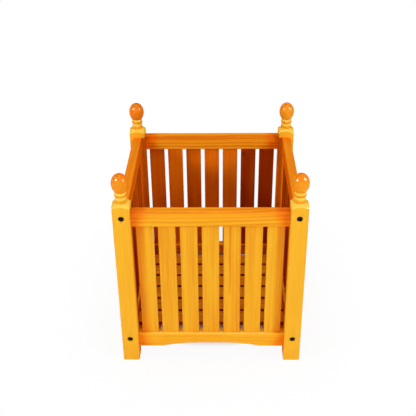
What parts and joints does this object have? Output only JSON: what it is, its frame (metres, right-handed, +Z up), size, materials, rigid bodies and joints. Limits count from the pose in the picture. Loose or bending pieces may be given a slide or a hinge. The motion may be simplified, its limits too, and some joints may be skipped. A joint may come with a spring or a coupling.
{
  "type": "versailles planter",
  "caption": "Square planter box of slatted softwood panels between corner posts with turned ball finials, with arched bottom rails and a slatted floor.",
  "frame": {"origin": "middle of the footprint, on the ground", "axes": "+Z up, +Y towards the back, +X to the right seen from the front"},
  "size_m": [0.45, 0.45, 0.53],
  "materials": {
    "post_wood": "satin, honey-amber stain, upright grain",
    "rail_wood": "satin, honey-amber stain, level grain",
    "slat_wood": "satin, honey-amber stain, upright grain with a few knots",
    "floor_wood": "matt, thinly stained",
    "black_steel": "black, satin"
  },
  "bodies": {
    "root": {"front_left_post": "post_wood", "front_right_post": "post_wood", "back_left_post": "post_wood", "back_right_post": "post_wood", "front_top_rail": "rail_wood", "front_bottom_rail": "rail_wood", "front_slat_1": "slat_wood", "front_slat_2": "slat_wood", "front_slat_3": "slat_wood", "front_slat_4": "slat_wood", "front_slat_5": "slat_wood", "front_slat_6": "slat_wood", "front_slat_7": "slat_wood", "right_top_rail": "rail_wood", "right_bottom_rail": "rail_wood", "right_slat_1": "slat_wood", "right_slat_2": "slat_wood", "right_slat_3": "slat_wood", "right_slat_4": "slat_wood", "right_slat_5": "slat_wood", "right_slat_6": "slat_wood", "right_slat_7": "slat_wood", "back_top_rail": "rail_wood", "back_bottom_rail": "rail_wood", "back_slat_1": "slat_wood", "back_slat_2": "slat_wood", "back_slat_3": "slat_wood", "back_slat_4": "slat_wood", "back_slat_5": "slat_wood", "back_slat_6": "slat_wood", "back_slat_7": "slat_wood", "left_top_rail": "rail_wood", "left_bottom_rail": "rail_wood", "left_slat_1": "slat_wood", "left_slat_2": "slat_wood", "left_slat_3": "slat_wood", "left_slat_4": "slat_wood", "left_slat_5": "slat_wood", "left_slat_6": "slat_wood", "left_slat_7": "slat_wood", "front_left_top_screw": "black_steel", "front_left_bottom_screw": "black_steel", "front_right_top_screw": "black_steel", "front_right_bottom_screw": "black_steel", "back_left_top_screw": "black_steel", "back_left_bottom_screw": "black_steel", "back_right_top_screw": "black_steel", "back_right_bottom_screw": "black_steel", "floor_slat_1": "floor_wood", "floor_slat_2": "floor_wood", "floor_slat_3": "floor_wood", "floor_slat_4": "floor_wood", "floor_slat_5": "floor_wood", "floor_slat_6": "floor_wood", "left_floor_cleat": "floor_wood", "left_floor_bearer": "floor_wood", "right_floor_cleat": "floor_wood", "right_floor_bearer": "floor_wood"}
  },
  "joints": []
}
